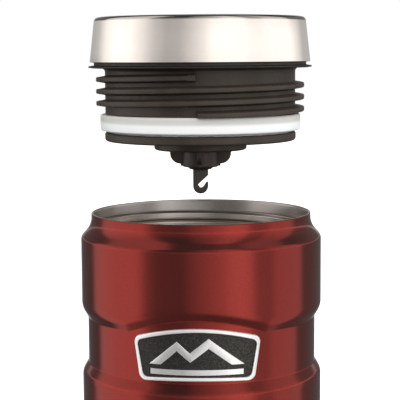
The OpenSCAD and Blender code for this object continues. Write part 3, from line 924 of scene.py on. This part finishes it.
def hook(coat):
    """Flat bar with a round end, and a slanting slot that is open to the right."""
    r = HOOK_W / 2
    eye = HOOK_LOW + r
    outline = rounded([(-r, TIP_LOW, 0), (-r, eye - r, r), (r, eye - r, r), (r, eye + 1.2, 0.12),
                       (0.8 * r, eye + 1.33, 0.15), (0.25 * r, eye - 0.42, 0.3),
                       (-0.05 * r, eye - 0.54, 0.2), (-0.4 * r, eye + 0.38, 0.3),
                       (r, eye + 3.31, 0.3), (r, TIP_LOW, 0)], 8)
    bar = plate(outline, -HOOK_T / 2, HOOK_T / 2, 0.2)
    piece("bag_hook", [lifted(bar, LID_Z)], coat, "valve", "hook_plastic", "tea_hook")


# ---- Scene --------------------------------------------------------------------------------


def camera():
    """Camera at the photograph's viewing angle."""
    data = bpy.data.cameras.new("camera")
    data.lens = CAMERA_LENS
    data.sensor_width = SENSOR_W
    made = bpy.data.objects.new("camera", data)
    azimuth = math.radians(CAMERA_AZIMUTH)
    place = (CAMERA_AWAY * math.sin(azimuth), -CAMERA_AWAY * math.cos(azimuth), CAMERA_UP)
    heading = Matrix.Rotation(azimuth + math.radians(CAMERA_YAW), 4, "Z")
    look = heading @ Matrix.Rotation(math.radians(90 - CAMERA_PITCH), 4, "X")
    roll = Matrix.Rotation(math.radians(CAMERA_ROLL), 4, "Z")
    made.matrix_world = Matrix.Translation(Vector(place) * MM) @ look @ roll
    bpy.context.scene.collection.objects.link(made)
    bpy.context.scene.camera = made


def floor():
    """Plain pale floor. It casts no light back, so that undersides stay dark."""
    mesh = bmesh.new()
    bmesh.ops.create_circle(mesh, cap_ends=True, segments=96, radius=4)
    data = bpy.data.meshes.new("floor")
    mesh.to_mesh(data)
    mesh.free()
    coat = Coat("floor", Roughness=0.9)
    coat.colour(coat.noise(0.002, 2), (0.3, (0.88, 0.88, 0.88)), (0.7, (0.9, 0.9, 0.9)))
    data.materials.append(coat.material)
    made = bpy.data.objects.new("floor", data)
    made.location.z = -0.0002
    made.visible_glossy = False
    made.visible_diffuse = False
    bpy.context.scene.collection.objects.link(made)


# Brightness of the studio by azimuth from the front, positive to the right. The flask's upright
# walls mirror the lower table, and the tilted steel rim of the lid mirrors the upper one.
LOWER = [(-180, 0.45), (-165, 0.45), (-160, 0.12), (-126, 0.14), (-118, 0.8), (-104, 0.95),
         (-62, 0.98), (-52, 0.4), (-42, 0.22), (-18, 0.19), (-8, 0.38), (4, 0.56), (20, 0.8),
         (28, 1.05), (36, 1.12), (46, 1.05), (54, 0.5), (68, 0.47), (76, 0.74), (106, 0.72),
         (113, 0.19), (160, 0.13), (170, 0.45), (180, 0.45)]
UPPER = [(-180, 0.5), (-153, 0.5), (-135, 0.65), (-119, 1.15), (-100, 1.5), (-79, 1.45),
         (-64, 1.1), (-49, 0.76), (-35, 0.58), (-22, 0.63), (-9, 0.86), (4, 1.15), (14, 1.5),
         (110, 1.4), (124, 1.0), (137, 0.6), (160, 0.5), (180, 0.5)]
CEILING = 0.05
GROUND = 0.18

# The belt that shows the upper table: its height in front, how far from its middle it begins, and
# how far from its middle it is full
BELT_Z = 0.23
BELT_EDGE = (0.035, 0.015)

# Light on surfaces that are not glossy: from below, from the sides and from above
GLOW_LOW = 0.12
GLOW_SIDE = 1.9
GLOW_TOP = 1.7


class Sums:
    """Arithmetic on sockets in a node tree."""

    def __init__(self, tree):
        self.nodes, self.links = tree.nodes, tree.links

    def maths(self, operation, *values):
        """The operation on its values, each of them a number or a socket."""
        node = self.nodes.new("ShaderNodeMath")
        node.operation = operation
        for socket, value in zip(node.inputs, values):
            if isinstance(value, (int, float)):
                socket.default_value = value
            else:
                self.links.new(value, socket)
        return node.outputs[0]

    def mix(self, first, second, share):
        """From first to second as share goes from 0 to 1."""
        rest = self.maths("SUBTRACT", 1, share)
        return self.maths("ADD", self.maths("MULTIPLY", first, rest),
                          self.maths("MULTIPLY", second, share))

    def step(self, value, low, high):
        """Smooth step from 0 at low to 1 at high."""
        node = self.nodes.new("ShaderNodeMapRange")
        node.interpolation_type = "SMOOTHSTEP"
        node.inputs["From Min"].default_value = low
        node.inputs["From Max"].default_value = high
        self.links.new(value, node.inputs["Value"])
        return node.outputs[0]

    def bands(self, turn, table):
        """Brightness from a table of (azimuth, brightness), for a turn from 0 to 1."""
        node = self.nodes.new("ShaderNodeValToRGB")
        peak = max(light for _, light in table)
        while len(node.color_ramp.elements) < len(table):
            node.color_ramp.elements.new(0.5)
        for element, (angle, light) in zip(node.color_ramp.elements, table):
            element.position = (angle + 180) / 360
            element.color = (light / peak, light / peak, light / peak, 1)
        self.links.new(turn, node.inputs["Fac"])
        return self.maths("MULTIPLY", node.outputs["Color"], peak)


def studio():
    """World round the object: softboxes for gloss, an even glow for the rest, white behind."""
    world = bpy.data.worlds.new("studio")
    world.use_nodes = True
    bpy.context.scene.world = world
    tree = world.node_tree
    sums = Sums(tree)
    direction = tree.nodes.new("ShaderNodeSeparateXYZ")
    tree.links.new(tree.nodes.new("ShaderNodeTexCoord").outputs["Generated"], direction.inputs[0])
    x, y, z = direction.outputs
    azimuth = sums.maths("ARCTAN2", x, sums.maths("MULTIPLY", y, -1))
    turn = sums.maths("DIVIDE", azimuth, 2 * math.pi)
    turn = sums.maths("FRACT", sums.maths("ADD", turn, 0.5 - CAMERA_AZIMUTH / 360))

    # The tilted rim mirrors only a thin belt, which is highest in front and lowest behind
    belt = sums.maths("MULTIPLY", sums.maths("COSINE", sums.maths("DIVIDE", azimuth, 2)), BELT_Z)
    off_belt = sums.maths("ABSOLUTE", sums.maths("SUBTRACT", z, belt))
    between = sums.step(off_belt, *BELT_EDGE)
    walls = sums.mix(sums.bands(turn, LOWER), sums.bands(turn, UPPER), between)
    # Higher up the softboxes fade, and the ceiling between them is dark
    faded = sums.maths("MAXIMUM", sums.maths("MULTIPLY_ADD", walls, 0.75, -0.13), 0.03)
    walls = sums.mix(walls, faded, sums.step(z, 0.25, 0.75))
    walls = sums.mix(walls, CEILING, sums.step(z, 0.89, 0.96))
    gloss = sums.mix(walls, GROUND, sums.step(z, -0.65, -0.97))

    key = sums.maths("MULTIPLY", sums.maths("ADD", sums.maths("MULTIPLY", y, -0.5), x), 0.5)
    glow = sums.mix(GLOW_LOW, sums.maths("ADD", GLOW_SIDE, key), sums.step(z, -0.2, 0.1))
    glow = sums.mix(glow, GLOW_TOP, sums.step(z, 0.4, 0.9))

    path = tree.nodes.new("ShaderNodeLightPath").outputs
    light = sums.mix(glow, gloss, path["Is Glossy Ray"])
    light = sums.mix(light, 1, path["Is Camera Ray"])
    tree.links.new(light, tree.nodes["Background"].inputs["Strength"])
    tree.nodes["Background"].inputs["Color"].default_value = (1, 1, 1, 1)


def inner_materials():
    """Materials of the CAD nodes that stay as they are, most of them out of sight."""
    steel = pressed_steel("clip_steel", (0.6, 0.59, 0.57), 0.3)
    coats = {
        "foil_shield": crinkled_foil(),
        "getter": pressed_steel("getter", (0.2, 0.2, 0.21), 0.5),
        "shell_base": brushed_steel("base_steel", (0.6, 0.59, 0.57), 0.35),
        "vacuum_plug": steel,
        "knob_clip": steel,
        "stem_ring": rubber("stem_rubber", (0.02, 0.02, 0.02)),
        "valve_stem": moulded_plastic("stem_plastic", (0.6, 0.6, 0.57), 0.35),
        "valve_gasket": rubber("valve_silicone", (0.7, 0.72, 0.72), 0.4),
    }
    for node, coat in coats.items():
        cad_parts[node].data.materials.clear()
        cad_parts[node].data.materials.append(coat)


def build():
    """Makes every piece, each in its material."""
    plastic = moulded_plastic("lid_plastic", (0.036, 0.027, 0.021), 0.4)
    inner_materials()
    outer_wall(lacquer())
    vessel(vessel_steel())
    foot(rubber("foot_rubber", (0.02, 0.02, 0.02)),
         brushed_steel("cover_steel", (0.66, 0.65, 0.63), 0.3))
    badge_plate(speckled_metal())
    badge_frame(chrome())
    emblem(chrome("emblem_chrome", 0.75))
    gasket(rubber("gasket_rubber", (0.012, 0.012, 0.012)))
    steel_rim(brushed_steel("rim_steel", (0.8, 0.73, 0.675), 0.08))
    trough(plastic)
    core(plastic)
    seal(silicone())
    knob(moulded_plastic("knob_plastic", (0.045, 0.038, 0.035), 0.35),
         rubber("pad_rubber", (0.022, 0.021, 0.02), 0.6))
    valve(plastic)
    hub(plastic)
    hook(moulded_plastic("hook_plastic", (0.045, 0.038, 0.035), 0.4))


bpy.context.scene.view_settings.view_transform = "Standard"
build()
floor()
studio()
camera()
